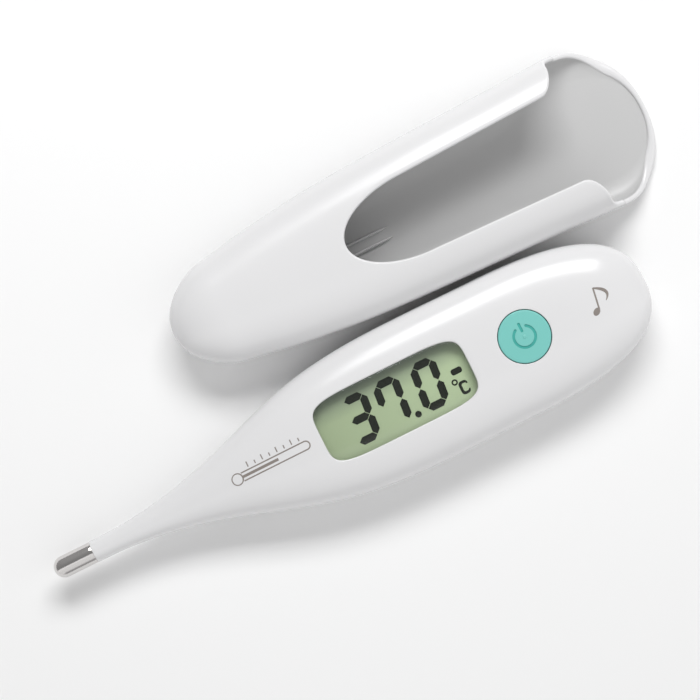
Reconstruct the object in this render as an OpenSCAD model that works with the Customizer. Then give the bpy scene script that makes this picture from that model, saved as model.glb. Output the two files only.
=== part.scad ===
// Digital clinical thermometer with its storage case beside it.
// Origin: on the flat underside of the thermometer, below the middle of the display window.
// +X runs to the grip end, +Y to the storage case, +Z out of the display. Millimetres.
// Stations called s are distances from the probe's tip, and stations called c are distances
// from the closed end of the storage case.

/* [Thermometer body] */
// Length from the probe's tip to the grip end
body_length = 130.5; // [129.5:0.5:132]
// Station of the middle of the display window
display_s = 75.5; // [75:0.1:76]
// Height of the probe's axis, where the two covers part
axis_z = 6.6; // [6.5:0.1:6.8]
// Wall thickness of both covers
wall = 1.2; // [1.1:0.05:1.25]
// Height of the flat ceiling inside the front cover
ceiling_z = 11.2; // [11.1:0.05:11.25]

/* [Probe] */
// Outer radius of the steel cap
cap_r = 2.2; // [2.1:0.05:2.25]
// Length of the steel cap
cap_length = 8.7; // [8:0.1:9]
// Wall thickness of the steel cap
cap_wall = 0.2; // [0.15:0.05:0.25]

/* [Display] */
// Length of the window opening
window_length = 32.5; // [31:0.5:33]
// Height of the window opening
window_height = 13.4; // [12.6:0.2:13.6]
// Corner radius of the window
window_corner = 2.8; // [2.4:0.2:3.2]

/* [Power button] */
// Station of the button's centre
button_s = 103.8; // [103.4:0.1:104]
// Radius of the button's cap
button_r = 5.25; // [5:0.05:5.3]
// Travel of the button
button_travel = 0.35; // [0.3:0.05:0.4]

/* [Battery] */
// Radius of the coin cell
cell_r = 10; // [9.8:0.1:10]
// Thickness of the coin cell
cell_t = 1.6; // [1.4:0.1:1.7]
// Station of the coin cell's centre
cell_s = 108.5; // [108.3:0.1:108.7]
// Station of the battery door's front edge
door_s = 96; // [95.8:0.1:96.2]
// Height of the battery door's upper edge
door_z = 3.6; // [3.5:0.05:3.65]

/* [Storage case] */
// Length from the closed end to the end of the mouth
case_length = 105; // [103:0.5:109]
// Wall thickness of the case
case_wall = 1.0; // [0.9:0.05:1.1]
// Half the height of the case
case_half_height = 7.85; // [7.8:0.05:8]
// X of the mouth's end
case_end_x = 71.5; // [65:0.5:74]
// Distance between the thermometer's axis and the case's axis
case_offset_y = 31.3; // [31.3:0.1:34]

/* [Hidden] */

neck_r = cap_r + 0.05;
spigot_r = cap_r - cap_wall - 0.05;
channel_r = 1;
board_z0 = 5;
board_z1 = 6;
glass_z = 9.4;
glass_t = 0.7;
cell_z = 1.9;

// Half-width, upper half-height and lower half-height of the body at stations from the tip.
plan_points = [[cap_length, neck_r], [16, 2.42], [24, 3.38], [32, 5.06], [40, 7.4], [48, 10.08],
    [56, 12.4], [64, 13.9], [73, 14.7], [84, 14.9], [98.5, 14.8]];
top_points = [[cap_length, neck_r], [16, 2.35], [26, 2.95], [36, 4.2], [46, 5.5], [56, 6.35], [66, 6.6]];
bottom_points = [[cap_length, neck_r], [16, 2.35], [26, 2.95], [36, 4.15], [46, 5.5], [56, 6.5], [66, 6.85]];
plan_cap_s = 98.5;
side_cap_s = 110;
plan_cap_power = 2.6;
side_cap_power = 2.3;
top_power = 2.6;
bottom_power = 3.4;
probe_power = 2;

// ---- curves ----

function span_of(table, s, i = 0) =
    (i >= len(table) - 2 || s < table[i + 1][0]) ? i : span_of(table, s, i + 1);

function slope_at(table, i) =
    (i == 0 || i == len(table) - 1) ? 0
    : (table[i + 1][1] - table[i - 1][1]) / (table[i + 1][0] - table[i - 1][0]);

// A smooth curve through the points of a table of [station, value], flat at both ends.
function along(table, s) =
    let (q = min(max(s, table[0][0]), table[len(table) - 1][0]))
    let (i = span_of(table, q), h = table[i + 1][0] - table[i][0], t = (q - table[i][0]) / h)
    (2 * pow(t, 3) - 3 * t * t + 1) * table[i][1]
    + (pow(t, 3) - 2 * t * t + t) * h * slope_at(table, i)
    + (3 * t * t - 2 * pow(t, 3)) * table[i + 1][1]
    + (pow(t, 3) - t * t) * h * slope_at(table, i + 1);

// 1 before start, falling to 0 over length as a superellipse of the given power.
function rounding(s, start, length, power) =
    s <= start ? 1 : pow(max(0, 1 - pow(min(1, (s - start) / length), power)), 1 / power);

function half_width(s, inset = 0) =
    (along(plan_points, s) - inset)
    * rounding(s, plan_cap_s, body_length - plan_cap_s - inset, plan_cap_power);

function half_height(table, s, inset = 0) =
    (along(table, s) - inset)
    * rounding(s, side_cap_s, body_length - side_cap_s - inset, side_cap_power);

// How far the section has changed from a round probe (0) to the full body (1).
function bodiness(s) = (along(plan_points, s) - neck_r) / (14.9 - neck_r);

function power_at(s, full) = probe_power + (full - probe_power) * bodiness(s);

function signed_power(v, p) = sign(v) * pow(abs(v), p);

// Two triangles for the corners a, b, c, d, in order.
function quad(a, b, c, d) = [[a, b, c], [a, c, d]];

// ---- thermometer shells ----

neck_rows = 30;
cap_rows = 12;
body_rows = neck_rows + cap_rows;
arc_steps = 20;

function body_station(i, inset) =
    i <= neck_rows ? cap_length + (plan_cap_s - cap_length) * i / neck_rows
    : plan_cap_s + (body_length - plan_cap_s - inset) * sin(90 * (i - neck_rows) / cap_rows);

// A point of a cover: side is 1 for the front cover and -1 for the rear cover.
function cover_point(i, j, side, inset) =
    let (s = body_station(i, inset), a = 180 * j / arc_steps)
    let (table = side > 0 ? top_points : bottom_points)
    let (p = power_at(s, side > 0 ? top_power : bottom_power))
    let (z = axis_z + side * half_height(table, s, inset) * pow(sin(a), 2 / p))
    [s - display_s, half_width(s, inset) * signed_power(cos(a), 2 / p),
        inset > 0 && side > 0 ? min(ceiling_z, z) : z];

// Half of the hollow body, from the neck to the grip end, closed along its parting face.
module cover_shell(side) {
    m = arc_steps;
    n = body_rows;
    grid = n * (m + 1);
    outer_end = 2 * grid;
    inner_end = outer_end + 1;
    points = concat(
        [for (i = [0:n - 1], j = [0:m]) cover_point(i, j, side, 0)],
        [for (i = [0:n - 1], j = [0:m]) cover_point(i, j, side, wall)],
        [[body_length - display_s, 0, axis_z], [body_length - wall - display_s, 0, axis_z]]);
    function o(i, j) = i * (m + 1) + j;
    function q(i, j) = grid + o(i, j);
    faces = concat(
        [for (i = [0:n - 2], j = [0:m - 1])
            each quad(o(i, j), o(i + 1, j), o(i + 1, j + 1), o(i, j + 1))],
        [for (i = [0:n - 2], j = [0:m - 1])
            each quad(q(i, j), q(i, j + 1), q(i + 1, j + 1), q(i + 1, j))],
        [for (j = [0:m - 1]) [o(n - 1, j), outer_end, o(n - 1, j + 1)]],
        [for (j = [0:m - 1]) [q(n - 1, j), q(n - 1, j + 1), inner_end]],
        [for (j = [0:m - 1]) each quad(o(0, j), o(0, j + 1), q(0, j + 1), q(0, j))],
        [for (i = [0:n - 2]) each quad(o(i + 1, 0), o(i, 0), q(i, 0), q(i + 1, 0))],
        [for (i = [0:n - 2]) each quad(o(i, m), o(i + 1, m), q(i + 1, m), q(i, m))],
        quad(outer_end, o(n - 1, 0), q(n - 1, 0), inner_end),
        quad(o(n - 1, m), outer_end, inner_end, q(n - 1, m)));
    polyhedron(points, side > 0 ? faces : [for (f = faces) [f[2], f[1], f[0]]]);
}

// ---- shared shapes, placed by station ----

module block(s0, s1, y0, y1, z0, z1)
    translate([s0 - display_s, y0, z0]) cube([s1 - s0, y1 - y0, z1 - z0]);

module post(s, y, z0, z1, r)
    translate([s - display_s, y, z0]) cylinder(h = z1 - z0, r = r, $fn = 64);

module rod(s0, s1, y, z, r)
    translate([s0 - display_s, y, z]) rotate([0, 90, 0]) cylinder(h = s1 - s0, r = r, $fn = 64);

module ring(s, z0, z1, r_out, r_in)
    difference() {
        post(s, 0, z0, z1, r_out);
        post(s, 0, z0 - 1, z1 + 1, r_in);
    }

// A plate with round corners, centred on the display.
module display_plate(length, height, corner, z0, z1)
    translate([0, 0, z0]) linear_extrude(z1 - z0) {
        square([length - 2 * corner, height], center = true);
        square([length, height - 2 * corner], center = true);
        for (x = [-1, 1], y = [-1, 1])
            translate([x * (length / 2 - corner), y * (height / 2 - corner)])
                circle(corner, $fn = 48);
    }

// Half of the round spigot that the steel cap is glued to.
module spigot(side)
    difference() {
        intersection() {
            rod(4.7, cap_length + 0.2, 0, axis_z, spigot_r);
            block(0, 20, -5, 5, side > 0 ? axis_z : axis_z - 5, side > 0 ? axis_z + 5 : axis_z);
        }
        rod(4, 12, 0, axis_z, channel_r);
    }

// ---- housing ----

button_hole_r = button_r + 0.2;
buzzer_s = 119;
buzzer_z = 10.2;
buzzer_r = 5;
screw_places = [[56, 6.5], [56, -6.5], [94, 10.8], [94, -10.8]];

module front_cover() color("whitesmoke") {
    difference() {
        union() {
            cover_shell(1);
            ring(buzzer_s, buzzer_z, 11.4, buzzer_r + 0.2, buzzer_r - 0.4);
        }
        display_plate(window_length, window_height, window_corner, 10, 15);
        post(button_s, 0, 10, 15, button_hole_r);
    }
    spigot(1);
}

rail_s0 = 97.5;
rail_s1 = 105;

// A lip of the rear cover that holds one side of the battery door.
module door_lip(y_side)
    mirror([0, y_side > 0 ? 0 : 1, 0]) {
        block(rail_s0, rail_s1, 12.0, 13.15, 2.25, 2.7);
        block(rail_s0, rail_s1, 12.0, 12.6, 2.25, 4.6);
        block(rail_s0, rail_s1, 12.0, 14.0, 3.8, 4.6);
    }

module rear_cover() color("whitesmoke") {
    difference() {
        union() {
            cover_shell(-1);
            for (p = screw_places) post(p[0], p[1], 1.3, board_z0, 1.6);
        }
        block(0, 140, -20, 20, -5, 0);
        block(door_s - 0.1, 140, -20, 20, -5, door_z + 0.1);
        for (p = screw_places) post(p[0], p[1], 2, 6, 0.7);
    }
    for (y_side = [-1, 1]) door_lip(y_side);
    spigot(-1);
}

module battery_door() color("white") {
    difference() {
        intersection() {
            cover_shell(-1);
            block(door_s, 140, -20, 20, 0, door_z);
        }
        for (y_side = [-1, 1])
            mirror([0, y_side > 0 ? 0 : 1, 0]) {
                block(95, rail_s1 + 0.4, 11, 13.3, 2.1, 2.85);
                block(95, rail_s1 + 0.4, 11, 12.8, 2.1, 4);
            }
        for (k = [0:4]) block(110 + 1.8 * k, 110.8 + 1.8 * k, -6, 6, -1, 0.4);
    }
    block(91.5, 98, -4, 4, 1.05, 1.7);
    block(door_s, 98, -4, 4, 0.5, 1.7);
}

module door_pad() color("dimgray") post(cell_s, 0, 1.03, 1.8, 4.5);

module display_window() color("darkseagreen") {
    display_plate(window_length - 0.1, window_height - 0.1, window_corner, 10.45, 12.6);
    display_plate(window_length + 1, window_height + 0.7, window_corner + 0.4, 10.45, 11.05);
}

module window_tape() color("black")
    difference() {
        display_plate(window_length + 1, window_height + 0.7, window_corner + 0.4, 11.05, ceiling_z - 0.04);
        display_plate(window_length + 0.1, window_height + 0.1, window_corner, 11, 12);
    }

// ---- probe ----

module cap_form(r, s1) {
    rod(cap_r, s1, 0, axis_z, r);
    translate([cap_r - display_s, 0, axis_z]) sphere(r, $fn = 64);
}

bead_s = 1.6;
bead_r = 0.65;
lead_y = 0.4;
lead_r = 0.15;
lead_end_s = 52.5;

module probe_cap() color("silver")
    difference() {
        cap_form(cap_r, cap_length);
        cap_form(cap_r - cap_wall, cap_length + 1);
    }

module probe_filler() color("darkkhaki")
    difference() {
        cap_form(cap_r - cap_wall - 0.02, 4.6);
        translate([bead_s - display_s, 0, axis_z]) sphere(bead_r + 0.05, $fn = 48);
        for (y = [-lead_y, lead_y]) rod(bead_s, 6, y, axis_z, lead_r + 0.05);
    }

module thermistor_bead() color("saddlebrown")
    translate([bead_s - display_s, 0, axis_z]) sphere(bead_r, $fn = 48);

module thermistor_leads() color("firebrick")
    for (y = [-lead_y, lead_y]) {
        rod(bead_s + 0.7, lead_end_s, y, axis_z, lead_r);
        post(lead_end_s, y, board_z1, axis_z, lead_r);
    }

// ---- liquid-crystal display ----

glass_s0 = display_s - 17.1;
glass_s1 = display_s + 17.1;

module lcd_polariser() color("darkolivegreen")
    block(glass_s0 + 0.2, glass_s1 - 0.2, -7.4, 7.4, glass_z + glass_t, glass_z + glass_t + 0.2);

module lcd_front_glass() color("lightcyan")
    block(glass_s0, glass_s1, -8.7, 8.0, glass_z, glass_z + glass_t);

module lcd_rear_glass() color("paleturquoise")
    block(glass_s0, glass_s1, -6.6, 8.0, glass_z - 0.03 - glass_t, glass_z - 0.03);

module lcd_reflector() color("lightgray")
    block(glass_s0 + 0.2, glass_s1 - 0.2, -6.6, 7.8, glass_z - 0.23 - glass_t, glass_z - 0.03 - glass_t);

digit_height = 10;
digit_width = 5.6;
stroke = 1.4;
slant = 5;
digit_places = [[-7.6, "3"], [-0.6, "7"], [7.5, "0"]];
segment_sets = [["3", "abcdg"], ["7", "abcf"], ["0", "abcdef"]];

// A bar of the given length with pointed ends, along X.
module bar(length)
    polygon([[-length / 2, 0], [-length / 2 + stroke / 2, stroke / 2], [length / 2 - stroke / 2, stroke / 2],
        [length / 2, 0], [length / 2 - stroke / 2, -stroke / 2], [-length / 2 + stroke / 2, -stroke / 2]]);

// One segment of a digit, by its usual letter.
module segment(letter) {
    w = digit_width - stroke;
    h = (digit_height - stroke) / 2;
    if (letter == "a") translate([0, h]) bar(w - 0.2);
    if (letter == "g") bar(w - 0.2);
    if (letter == "d") translate([0, -h]) bar(w - 0.2);
    if (letter == "b") translate([w / 2, h / 2]) rotate(90) bar(h - 0.2);
    if (letter == "c") translate([w / 2, -h / 2]) rotate(90) bar(h - 0.2);
    if (letter == "e") translate([-w / 2, -h / 2]) rotate(90) bar(h - 0.2);
    if (letter == "f") translate([-w / 2, h / 2]) rotate(90) bar(h - 0.2);
}

module lcd_segments() color("darkslategray")
    translate([0, 0, glass_z - 0.03]) linear_extrude(0.03) {
        for (place = digit_places)
            for (set = segment_sets)
                if (set[0] == place[1])
                    for (letter = set[1])
                        multmatrix([[1, tan(slant), 0, place[0]], [0, 1, 0, 0], [0, 0, 1, 0]])
                            segment(letter);
        translate([2.95, -4.3]) circle(0.65, $fn = 32);
        translate([13.4, 0]) square([2.3, 1.25], center = true);
        translate([12.1, -1.9]) difference() {
            circle(0.63, $fn = 32);
            circle(0.36, $fn = 32);
        }
        translate([13.4, -3.6]) difference() {
            square([1.8, 2.75], center = true);
            translate([0.45, 0]) square([1.8, 1.85], center = true);
        }
    }

module lcd_frame() color("gainsboro")
    difference() {
        block(glass_s0 - 0.7, glass_s1 + 0.7, -9.4, 8.8, board_z1 + 0.05, glass_z + glass_t);
        block(glass_s0 - 0.05, glass_s1 + 0.05, -8.75, 8.05, glass_z, 12);
        block(glass_s0 - 0.05, glass_s1 + 0.05, -6.65, 8.05, 8.4, 12);
        block(display_s - 15.1, display_s + 15.1, -8.6, -6.65, 5, 12);
        block(display_s - 15.1, display_s + 15.1, -5.6, 6.9, 5, 12);
    }

module lcd_connector() color("dimgray")
    block(display_s - 15, display_s + 15, -8.5, -6.75, board_z1, glass_z);

// ---- circuit board ----

board_outline = [[50, 8], [62, 11.6], [112, 11.6], [118, 8]];

module main_board() color("seagreen")
    difference() {
        translate([-display_s, 0, board_z0]) linear_extrude(board_z1 - board_z0)
            polygon(concat(board_outline, [for (k = [3:-1:0]) [board_outline[k][0], -board_outline[k][1]]]));
        for (p = screw_places) post(p[0], p[1], 4, 7, 0.85);
    }

module board_screws() color("silver")
    for (p = screw_places) {
        post(p[0], p[1], 2.4, board_z1 + 0.1, 0.65);
        difference() {
            post(p[0], p[1], board_z1, board_z1 + 0.7, 1.2);
            for (turn = [0, 90])
                translate([p[0] - display_s, p[1], board_z1 + 0.7]) rotate(turn)
                    cube([1.5, 0.3, 0.7], center = true);
        }
    }

module controller_chip() color("black") {
    block(66, 75, -4.5, 4.5, board_z1 + 0.2, board_z1 + 1.5);
    for (k = [0:7], y_side = [-1, 1])
        translate([0, y_side > 0 ? 4.4 : -5.3, 0])
            block(66.9 + k, 67.2 + k, 0, 0.9, board_z1, board_z1 + 0.5);
}

module quartz_crystal() color("silver") {
    rod(79, 85, 4.5, board_z1 + 1, 0.95);
    for (y = [4.1, 4.9]) rod(85, 87.5, y, board_z1 + 0.4, 0.15);
}

module chip_resistors() color("black")
    for (k = [0:4]) block(78 + 2.4 * k, 79.2 + 2.4 * k, -4, -2, board_z1, board_z1 + 0.5);

module chip_capacitors() color("tan")
    for (k = [0:3]) block(79 + 2.8 * k, 80.4 + 2.8 * k, -0.8, 1.6, board_z1, board_z1 + 0.9);

// ---- power button ----

plunger_z = 9.9;

module switch_body() color("dimgray")
    difference() {
        block(button_s - 3, button_s + 3, -3, 3, board_z1, 9.4);
        post(button_s, 0, 6.6, 8.4, 2.5);
        post(button_s, 0, 6.6, 12, 1.75);
    }

module switch_dome() color("gold")
    intersection() {
        difference() {
            translate([button_s - display_s, 0, 7.3 - 4.7]) sphere(4.7, $fn = 64);
            translate([button_s - display_s, 0, 7.3 - 4.7]) sphere(4.6, $fn = 64);
        }
        post(button_s, 0, 6.6, 8, 2.4);
    }

module switch_plunger() color("khaki") {
    post(button_s, 0, 7.35, plunger_z, 1.5);
    post(button_s, 0, 7.35, 7.85, 2.1);
}

module power_button() color("mediumaquamarine") {
    difference() {
        post(button_s, 0, 10.4, 13.15, button_r);
        translate([button_s - display_s, 0, 13.15])
            linear_extrude(0.6, center = true) power_mark();
    }
    post(button_s, 0, 10.4, 10.9, button_r + 0.8);
    post(button_s, 0, plunger_z + 0.05, 10.5, 1.4);
}

// The open ring and bar of the usual power sign.
module power_mark() {
    difference() {
        circle(2.4, $fn = 64);
        circle(1.9, $fn = 64);
        translate([0, 2]) square([1.9, 2.4], center = true);
    }
    translate([0, 1.9]) square([0.5, 2], center = true);
}

module button_seal() color("slategray") ring(button_s, 10.3, ceiling_z, button_r + 2.2, button_r + 1);

// ---- buzzer ----

module buzzer_disc() color("goldenrod") post(buzzer_s, 0, buzzer_z - 0.2, buzzer_z, buzzer_r);

module buzzer_ceramic() color("white")
    post(buzzer_s, 0, buzzer_z - 0.35, buzzer_z - 0.2, buzzer_r - 1.5);

module buzzer_leads() color("firebrick") {
    post(116.6, 1.5, board_z1, buzzer_z - 0.35, 0.25);
    post(115.2, -1.2, board_z1, buzzer_z - 0.2, 0.25);
}

// ---- battery ----

cell_top = cell_z + cell_t;

module battery_frame() color("gainsboro") {
    difference() {
        post(cell_s, 0, cell_z + 0.7, cell_top + 0.6, cell_r + 1.4);
        post(cell_s, 0, 0, cell_top + 0.1, cell_r + 0.1);
        post(cell_s, 0, 0, 8, 6.5);
        block(95, cell_s - cell_r + 0.3, -3, 3, 0, 8);
    }
    for (a = [45:90:315])
        translate([10.3 * cos(a), 10.3 * sin(a), 0]) post(cell_s, 0, cell_top + 0.4, board_z0, 0.7);
}

module cell_can() color("silver")
    difference() {
        post(cell_s, 0, cell_z, cell_top - 0.15, cell_r);
        post(cell_s, 0, cell_z + 0.2, cell_top + 1, cell_r - 0.8);
    }

module cell_gasket() color("black") ring(cell_s, cell_z + 0.2, cell_top - 0.1, cell_r - 0.8, cell_r - 1.2);

module cell_cap() color("lightgray") post(cell_s, 0, cell_z + 0.2, cell_top, cell_r - 1.2);

module contact_positive() color("gold") {
    block(cell_s - cell_r - 0.4, cell_s - cell_r - 0.1, -2.5, 2.5, cell_z + 0.3, board_z0);
    block(cell_s - cell_r - 2.4, cell_s - cell_r - 0.1, -2.5, 2.5, board_z0 - 0.3, board_z0);
}

module contact_negative() color("gold") {
    block(103.5, 112, -2, 2, board_z0 - 0.2, board_z0);
    block(103.5, 103.8, -2, 2, cell_top, board_z0);
    block(103.5, 111, -1.2, 1.2, cell_top, cell_top + 0.25);
}

// ---- storage case ----

case_plan = [[0, 9.6], [13, 11.2], [21, 12.6], [29, 13.6], [37, 14.4], [45, 14.9], [61, 15.5], [77, 15.96],
    [92.5, 16.5]];
case_top = [[0, 6.2], [30, 6.6], [60, 7.65], [75, 7.85]];
case_sink = 0.15;
closed_round = 11;
mouth_round_c = 92.5;
opening_c = 38;
opening_round = 16;
opening_half = 8.4;
opening_flare = 0.035;
step_c0 = 85.5;
step_c1 = 92.5;
spoon_c0 = 88;
spoon_c1 = 101;
spoon_z0 = 7;
spoon_z1 = 1.15;
mouth_power = 2.15;
mouth_bottom_power = 6;
around_steps = 32;

// Stations of the case's rows, from the closed end to the mouth.
function case_stations(inset) = concat(
    [for (k = [1:7]) inset + (closed_round - inset) * (1 - cos(90 * k / 7))],
    [for (k = [1:7]) closed_round + (opening_c - closed_round) * k / 7],
    [for (k = [1:8]) opening_c + 8 * pow(k / 8, 2)],
    [for (k = [1:8]) opening_c + 8 + (step_c0 - opening_c - 8) * k / 8],
    [for (k = [1:12]) step_c0 + (step_c1 - step_c0) * (k <= 6 ? sin(15 * k) / 2 : 1 - sin(15 * (12 - k)) / 2)],
    [for (k = [1:9]) mouth_round_c + (case_length - inset - mouth_round_c) * sin(10 * k)]);
closed_rows = 14;

function closed_factor(c, inset) =
    c >= closed_round ? 1 : sqrt(max(0, 1 - pow((closed_round - c) / (closed_round - inset), 2)));

function case_half_width(c, inset) = (along(case_plan, c) - inset) * closed_factor(c, inset)
    * rounding(c, mouth_round_c, case_length - mouth_round_c - inset, mouth_power);

function smooth(t) = let (u = max(0, min(1, t))) u * u * (3 - 2 * u);

function case_top_power(c) = 2.2 + (top_power - 2.2) * min(1, c / 60);

function case_bottom_power(c) = 2.2 + (bottom_power - 2.2) * min(1, c / 60)
    + (mouth_bottom_power - bottom_power) * smooth((c - 70) / 25);

// Rises from 0 to 1 as two quarter circles that meet upright in the middle.
function s_curve(t) =
    t <= 0 ? 0 : t >= 1 ? 1
    : t < 0.5 ? (1 - sqrt(1 - 4 * t * t)) / 2
    : (1 + sqrt(1 - 4 * (1 - t) * (1 - t))) / 2;

// Half the width of the opening: round at its start, then nearly straight.
function opening_half_width(c) =
    let (d = c - opening_c)
    d <= 0 ? 0
    : d < opening_round ? opening_half * sqrt(1 - pow(1 - d / opening_round, 2))
    : opening_half + opening_flare * (d - opening_round);

function spoon_z(c) = spoon_z0 + (spoon_z1 - spoon_z0) * smooth((c - spoon_c0) / (spoon_c1 - spoon_c0));

// Angle at which a section's wall starts, measured from +Y over the top.
function edge_angle(c, w, h_top, h_bottom) =
    let (top = 90 + asin(pow(min(1, opening_half_width(c) / max(w, 0.01)), case_top_power(c) / 2)))
    let (drop = (case_half_height - spoon_z(c)) / h_bottom)
    let (low = 180 + asin(pow(min(1, drop), case_bottom_power(c) / 2)))
    c <= opening_c ? 90 : top + (low - top) * s_curve((c - step_c0) / (step_c1 - step_c0));

// One row of the case's points around its section, at its own place beside the thermometer.
function case_row(c, inset) =
    let (f = closed_factor(c, inset), w = case_half_width(c, inset))
    let (h_top = (along(case_top, c) - inset) * f)
    let (h_bottom = (case_half_height + case_sink - inset) * f)
    let (a0 = edge_angle(c, w, h_top, max(h_bottom, 0.01)))
    [for (j = [0:around_steps])
        let (a = a0 + (540 - 2 * a0) * j / around_steps)
        let (p = sin(a) > 0 ? case_top_power(c) : case_bottom_power(c))
        let (h = sin(a) > 0 ? h_top : h_bottom)
        [case_end_x - case_length + c,
            case_offset_y + w * signed_power(cos(a), 2 / p),
            max(inset, case_half_height + h * signed_power(sin(a), 2 / p))]];

module case_shell() {
    m = around_steps;
    rows_out = [for (c = case_stations(0)) each case_row(c, 0)];
    rows_in = [for (c = case_stations(case_wall)) each case_row(c, case_wall)];
    grid = len(rows_out);
    n = grid / (m + 1);
    end_x = case_end_x - case_length;
    points = concat(rows_out, rows_in,
        [[end_x, case_offset_y, case_half_height], [end_x + case_wall, case_offset_y, case_half_height]]);
    function o(i, j) = i * (m + 1) + j;
    function q(i, j) = grid + o(i, j);
    polyhedron(points, concat(
        [for (i = [0:n - 2], j = [0:m - 1])
            each quad(o(i, j), o(i + 1, j), o(i + 1, j + 1), o(i, j + 1))],
        [for (i = [0:n - 2], j = [0:m - 1])
            each quad(q(i, j), q(i, j + 1), q(i + 1, j + 1), q(i + 1, j))],
        [for (j = [0:m - 1]) [2 * grid, o(0, j), o(0, j + 1)]],
        [for (j = [0:m - 1]) [2 * grid + 1, q(0, j + 1), q(0, j)]],
        [for (i = [closed_rows - 1:n - 2]) each quad(o(i + 1, 0), o(i, 0), q(i, 0), q(i + 1, 0))],
        [for (i = [closed_rows - 1:n - 2]) each quad(o(i, m), o(i + 1, m), q(i + 1, m), q(i, m))]));
}

module storage_case() color("white") {
    case_shell();
    for (y_side = [-1, 1])
        translate([case_end_x - case_length + 8, case_offset_y + y_side * 1.15 - 0.3, case_wall - 0.2])
            cube([40, 0.6, 1.3]);
}

front_cover();
rear_cover();
display_window();
window_tape();
probe_cap();
probe_filler();
thermistor_bead();
thermistor_leads();
lcd_polariser();
lcd_front_glass();
lcd_segments();
lcd_rear_glass();
lcd_reflector();
lcd_frame();
lcd_connector();
main_board();
board_screws();
controller_chip();
quartz_crystal();
chip_resistors();
chip_capacitors();
switch_body();
switch_dome();
switch_plunger();
button_seal();
power_button();
buzzer_disc();
buzzer_ceramic();
buzzer_leads();
battery_frame();
cell_can();
cell_gasket();
cell_cap();
contact_positive();
contact_negative();
battery_door();
door_pad();
storage_case();
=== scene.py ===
# A digital clinical thermometer beside its storage case, seen from almost straight above.
# Lengths in this script are millimetres, turned into metres where a mesh is made.
# Stations called s run from the probe's tip, and stations called c from the case's closed end.
import math

import bmesh
import bpy
import numpy as np
from mathutils import Matrix, Vector


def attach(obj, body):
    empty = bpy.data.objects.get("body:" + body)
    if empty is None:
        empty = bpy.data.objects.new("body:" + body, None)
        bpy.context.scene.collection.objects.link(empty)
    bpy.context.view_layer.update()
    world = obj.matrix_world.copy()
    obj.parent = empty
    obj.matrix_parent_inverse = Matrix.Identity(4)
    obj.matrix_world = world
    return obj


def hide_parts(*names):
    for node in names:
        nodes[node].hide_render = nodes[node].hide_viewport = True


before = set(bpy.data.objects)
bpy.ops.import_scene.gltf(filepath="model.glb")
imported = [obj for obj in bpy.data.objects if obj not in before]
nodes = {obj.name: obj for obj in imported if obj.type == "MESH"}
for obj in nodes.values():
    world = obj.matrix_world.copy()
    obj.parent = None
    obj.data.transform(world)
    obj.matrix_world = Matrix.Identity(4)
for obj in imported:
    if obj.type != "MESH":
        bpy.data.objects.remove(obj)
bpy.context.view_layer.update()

MM = 0.001

# ---- the thermometer's shape, as in the CAD ----

BODY_LENGTH = 130.5
DISPLAY_S = 75.5
AXIS_Z = 6.6
WALL = 1.2
CEILING_Z = 11.2
CAP_R = 2.2
CAP_LENGTH = 8.7
CAP_WALL = 0.2
NECK_R = CAP_R + 0.05
# Each table below has rows of [station, half width] or [station, half height from the axis].
PLAN = [
    [CAP_LENGTH, NECK_R], [16, 2.42], [24, 3.38], [32, 5.06], [40, 7.4], [48, 10.08],
    [56, 12.4], [64, 13.9], [73, 14.7], [84, 14.9], [98.5, 14.8],
]
TOP = [
    [CAP_LENGTH, NECK_R], [16, 2.35], [26, 2.95], [36, 4.2], [46, 5.5], [56, 6.35], [66, 6.6],
]
BOTTOM = [
    [CAP_LENGTH, NECK_R], [16, 2.35], [26, 2.95], [36, 4.15], [46, 5.5], [56, 6.5], [66, 6.85],
]
PLAN_CAP_S = 98.5
SIDE_CAP_S = 110
PLAN_CAP_POWER = 2.6
SIDE_CAP_POWER = 2.3
TOP_POWER = 2.6
BOTTOM_POWER = 3.4
FULL_HALF_WIDTH = 14.9
BUTTON_S = 103.8
BUTTON_X = BUTTON_S - DISPLAY_S
BUTTON_R = 5.25
DOOR_S = 96
DOOR_Z = 3.6
SEAM = 0.04
SCREWS = [(56, 6.5), (56, -6.5), (94, 10.8), (94, -10.8)]


def along(table, s):
    """A smooth curve through a table of [station, value], flat at both ends."""
    x = np.array([row[0] for row in table], float)
    v = np.array([row[1] for row in table], float)
    slope = np.zeros(len(x))
    slope[1:-1] = (v[2:] - v[:-2]) / (x[2:] - x[:-2])
    q = np.clip(s, x[0], x[-1])
    i = np.clip(np.searchsorted(x, q, side="right") - 1, 0, len(x) - 2)
    h = x[i + 1] - x[i]
    t = (q - x[i]) / h
    return (
        (2 * t**3 - 3 * t**2 + 1) * v[i]
        + (t**3 - 2 * t**2 + t) * h * slope[i]
        + (3 * t**2 - 2 * t**3) * v[i + 1]
        + (t**3 - t**2) * h * slope[i + 1]
    )


def rounding(s, start, length, power):
    """1 before start, falling to 0 over length as a superellipse."""
    t = np.clip((s - start) / length, 0, 1)
    return (1 - t**power) ** (1 / power)


def half_width(s, inset=0.0):
    """Half the body's width at a station, or of a surface inset from it."""
    fall = rounding(s, PLAN_CAP_S, BODY_LENGTH - PLAN_CAP_S - inset, PLAN_CAP_POWER)
    return (along(PLAN, s) - inset) * fall


def half_height(side, s, inset=0.0):
    """Height above the axis if side is 1, or below it if side is -1."""
    table = TOP if side > 0 else BOTTOM
    fall = rounding(s, SIDE_CAP_S, BODY_LENGTH - SIDE_CAP_S - inset, SIDE_CAP_POWER)
    return (along(table, s) - inset) * fall


def power_at(side, s):
    """The superellipse power of the cross-section: round at the neck, squarer at the grip."""
    share = (along(PLAN, s) - NECK_R) / (FULL_HALF_WIDTH - NECK_R)
    return 2 + ((TOP_POWER if side > 0 else BOTTOM_POWER) - 2) * share


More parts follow.
